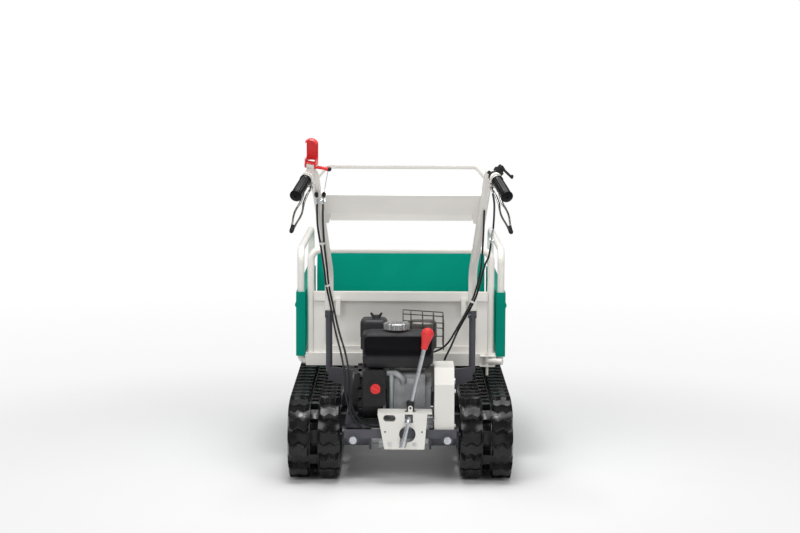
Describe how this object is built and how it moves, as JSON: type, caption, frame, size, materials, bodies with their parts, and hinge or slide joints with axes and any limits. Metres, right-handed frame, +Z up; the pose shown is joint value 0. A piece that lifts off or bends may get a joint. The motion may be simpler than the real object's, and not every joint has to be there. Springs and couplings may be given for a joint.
{
  "type": "tracked power carrier",
  "caption": "Walk-behind tracked carrier with rubber tracks, petrol engine, handlebar controls and a tilting load bed whose walls slide out.",
  "frame": {"origin": "on the ground under the middle of the machine", "axes": "+X to the machine's right, +Y forward towards the load bed, +Z up"},
  "size_m": [0.772, 1.7126, 1.1903],
  "materials": {
    "dark_paint": "satin anthracite powder coat",
    "track_rubber": "matt moulded rubber",
    "wheel_steel": "matt black painted castings",
    "zinc_steel": "zinc plated",
    "cast_aluminium": "as cast",
    "machined_steel": "turned",
    "belt_rubber": "matt",
    "white_paint": "glossy off-white powder coat",
    "black_plastic": "fine textured",
    "red_plastic": "glossy",
    "gloss_black": "glossy",
    "silver_plastic": "metallic",
    "heat_steel": "heat stained",
    "guard_wire": "heat stained wire",
    "grip_rubber": "soft satin",
    "chrome_steel": "bright plated",
    "cable_sheath": "satin",
    "green_paint": "glossy green powder coat"
  },
  "bodies": {
    "chassis": {"chassis_frame": "dark_paint", "track_beams": "dark_paint", "left_track": "track_rubber", "right_track": "track_rubber", "track_tensioners": "dark_paint", "fasteners": "zinc_steel", "gearbox": "cast_aluminium", "drive_belt": "belt_rubber", "belt_cover": "white_paint", "gate_plate": "white_paint", "crankcase": "cast_aluminium", "cylinder_block": "cast_aluminium", "fan_shroud": "black_plastic", "recoil_starter": "black_plastic", "fuel_tank": "gloss_black", "air_cleaner": "black_plastic", "muffler": "heat_steel", "muffler_guard": "guard_wire", "carburettor": "cast_aluminium", "handle_posts": "dark_paint", "handlebar": "white_paint", "handle_ends": "white_paint", "handle_hoop": "white_paint", "crossmember": "white_paint", "left_grip": "grip_rubber", "right_grip": "grip_rubber", "throttle_body": "black_plastic", "control_cables": "cable_sheath", "cable_adjusters": "zinc_steel"},
    "left_drive": {"left_sprocket": "wheel_steel"},
    "right_drive": {"right_sprocket": "wheel_steel"},
    "left_idler_wheel": {"left_idler": "wheel_steel"},
    "right_idler_wheel": {"right_idler": "wheel_steel"},
    "left_roller_wheel_1": {"left_roller_1": "wheel_steel"},
    "left_roller_wheel_2": {"left_roller_2": "wheel_steel"},
    "left_roller_wheel_3": {"left_roller_3": "wheel_steel"},
    "right_roller_wheel_1": {"right_roller_1": "wheel_steel"},
    "right_roller_wheel_2": {"right_roller_2": "wheel_steel"},
    "right_roller_wheel_3": {"right_roller_3": "wheel_steel"},
    "crank": {"crankshaft": "machined_steel", "engine_pulley": "machined_steel"},
    "gearbox_input": {"gearbox_pulley": "machined_steel"},
    "tensioner": {"belt_tensioner": "machined_steel"},
    "selector": {"shift_gimbal": "black_plastic"},
    "gear_lever": {"shift_lever": "zinc_steel", "shift_knob": "red_plastic"},
    "clutch": {"clutch_lever": "red_plastic"},
    "left_steering": {"left_steer_lever": "chrome_steel"},
    "right_steering": {"right_steer_lever": "chrome_steel"},
    "throttle": {"throttle_lever": "black_plastic"},
    "engine_switch": {"switch_knob": "red_plastic"},
    "tank_cap": {"fuel_cap": "silver_plastic"},
    "bed": {"bed_floor": "white_paint", "bulkhead": "white_paint"},
    "left_wall": {"left_panel": "green_paint", "left_hoop": "white_paint"},
    "right_wall": {"right_panel": "green_paint", "right_hoop": "white_paint"},
    "front_wall": {"front_panel": "green_paint"},
    "latch": {"latch_handle": "white_paint"}
  },
  "joints": [
    {"name": "left_drive_spin", "type": "hinge", "parent": "chassis", "child": "left_drive", "pos_m": [-0.296, -0.39572, 0.14113], "axis": [1, 0, 0], "continuous": true},
    {"name": "left_idler_spin", "type": "hinge", "parent": "chassis", "child": "left_idler_wheel", "pos_m": [-0.296, 0.50428, 0.14113], "axis": [1, 0, 0], "continuous": true},
    {"name": "left_roller_1_spin", "type": "hinge", "parent": "chassis", "child": "left_roller_wheel_1", "pos_m": [-0.296, -0.13572, 0.0866], "axis": [1, 0, 0], "continuous": true},
    {"name": "left_roller_2_spin", "type": "hinge", "parent": "chassis", "child": "left_roller_wheel_2", "pos_m": [-0.296, 0.05428, 0.0866], "axis": [1, 0, 0], "continuous": true},
    {"name": "left_roller_3_spin", "type": "hinge", "parent": "chassis", "child": "left_roller_wheel_3", "pos_m": [-0.296, 0.24428, 0.0866], "axis": [1, 0, 0], "continuous": true},
    {"name": "right_drive_spin", "type": "hinge", "parent": "chassis", "child": "right_drive", "pos_m": [0.296, -0.39572, 0.14113], "axis": [1, 0, 0], "continuous": true},
    {"name": "right_idler_spin", "type": "hinge", "parent": "chassis", "child": "right_idler_wheel", "pos_m": [0.296, 0.50428, 0.14113], "axis": [1, 0, 0], "continuous": true},
    {"name": "right_roller_1_spin", "type": "hinge", "parent": "chassis", "child": "right_roller_wheel_1", "pos_m": [0.296, -0.13572, 0.0866], "axis": [1, 0, 0], "continuous": true},
    {"name": "right_roller_2_spin", "type": "hinge", "parent": "chassis", "child": "right_roller_wheel_2", "pos_m": [0.296, 0.05428, 0.0866], "axis": [1, 0, 0], "continuous": true},
    {"name": "right_roller_3_spin", "type": "hinge", "parent": "chassis", "child": "right_roller_wheel_3", "pos_m": [0.296, 0.24428, 0.0866], "axis": [1, 0, 0], "continuous": true},
    {"name": "crank_spin", "type": "hinge", "parent": "chassis", "child": "crank", "pos_m": [0, -0.33572, 0.29513], "axis": [1, 0, 0], "continuous": true},
    {"name": "gearbox_input_spin", "type": "hinge", "parent": "chassis", "child": "gearbox_input", "pos_m": [0.1, -0.45372, 0.20513], "axis": [1, 0, 0], "continuous": true},
    {"name": "clutch_swing", "type": "hinge", "parent": "chassis", "child": "clutch", "pos_m": [-0.29594, -0.71737, 1.10071], "axis": [0.9634, -0.2283, -0.1404], "range_deg": [0, 80], "stiffness_Nm_per_rad": 1.2},
    {"name": "tensioner_swing", "type": "hinge", "parent": "chassis", "child": "tensioner", "pos_m": [0.154, -0.39101, 0.33597], "axis": [1, 0, 0], "range_deg": [0, 5]},
    {"name": "left_steer_squeeze", "type": "hinge", "parent": "chassis", "child": "left_steering", "pos_m": [-0.30277, -0.72666, 1.03665], "axis": [-0.9546, 0.2978, 0], "range_deg": [0, 22], "stiffness_Nm_per_rad": 2},
    {"name": "right_steer_squeeze", "type": "hinge", "parent": "chassis", "child": "right_steering", "pos_m": [0.30277, -0.72666, 1.03665], "axis": [-0.9546, -0.2978, 0], "range_deg": [0, 22], "stiffness_Nm_per_rad": 2},
    {"name": "throttle_turn", "type": "hinge", "parent": "chassis", "child": "throttle", "pos_m": [0.32501, -0.72533, 1.09297], "axis": [0.655, -0.1737, 0.7354], "range_deg": [0, 60]},
    {"name": "shift_select", "type": "hinge", "parent": "chassis", "child": "selector", "pos_m": [0.034, -0.50172, 0.26333], "axis": [0, 1, 0], "range_deg": [-9, 9]},
    {"name": "shift_engage", "type": "hinge", "parent": "selector", "child": "gear_lever", "pos_m": [0.034, -0.50172, 0.26333], "axis": [1, 0, 0], "range_deg": [-6, 3]},
    {"name": "switch_turn", "type": "hinge", "parent": "chassis", "child": "engine_switch", "pos_m": [-0.086, -0.47972, 0.32313], "axis": [0, 1, 0], "range_deg": [0, 45]},
    {"name": "fuel_cap_turn", "type": "hinge", "parent": "chassis", "child": "tank_cap", "pos_m": [-0.014, -0.39172, 0.525], "axis": [0, 0, 1], "range_deg": [0, 90]},
    {"name": "bed_tilt", "type": "hinge", "parent": "chassis", "child": "bed", "pos_m": [0, 0.60428, 0.32327], "axis": [-1, 0, 0], "range_deg": [0, 40]},
    {"name": "left_wall_slide", "type": "slide", "parent": "bed", "child": "left_wall", "axis": [-1, 0, 0], "range_m": [0, 0.18]},
    {"name": "right_wall_slide", "type": "slide", "parent": "bed", "child": "right_wall", "axis": [1, 0, 0], "range_m": [0, 0.18]},
    {"name": "front_wall_slide", "type": "slide", "parent": "bed", "child": "front_wall", "axis": [0, 1, 0], "range_m": [0, 0.2]},
    {"name": "latch_turn", "type": "hinge", "parent": "bed", "child": "latch", "pos_m": [0.31, -0.13072, 0.369], "axis": [0, 0, -1], "range_deg": [0, 60]}
  ],
  "couplings": [
    {"joint": "left_idler_spin", "follows": "left_drive_spin", "ratio": 1.091},
    {"joint": "left_roller_1_spin", "follows": "left_drive_spin", "ratio": 2.5783},
    {"joint": "left_roller_2_spin", "follows": "left_drive_spin", "ratio": 2.5783},
    {"joint": "left_roller_3_spin", "follows": "left_drive_spin", "ratio": 2.5783},
    {"joint": "right_idler_spin", "follows": "right_drive_spin", "ratio": 1.091},
    {"joint": "right_roller_1_spin", "follows": "right_drive_spin", "ratio": 2.5783},
    {"joint": "right_roller_2_spin", "follows": "right_drive_spin", "ratio": 2.5783},
    {"joint": "right_roller_3_spin", "follows": "right_drive_spin", "ratio": 2.5783},
    {"joint": "tensioner_swing", "follows": "clutch_swing", "ratio": 0.0625}
  ]
}
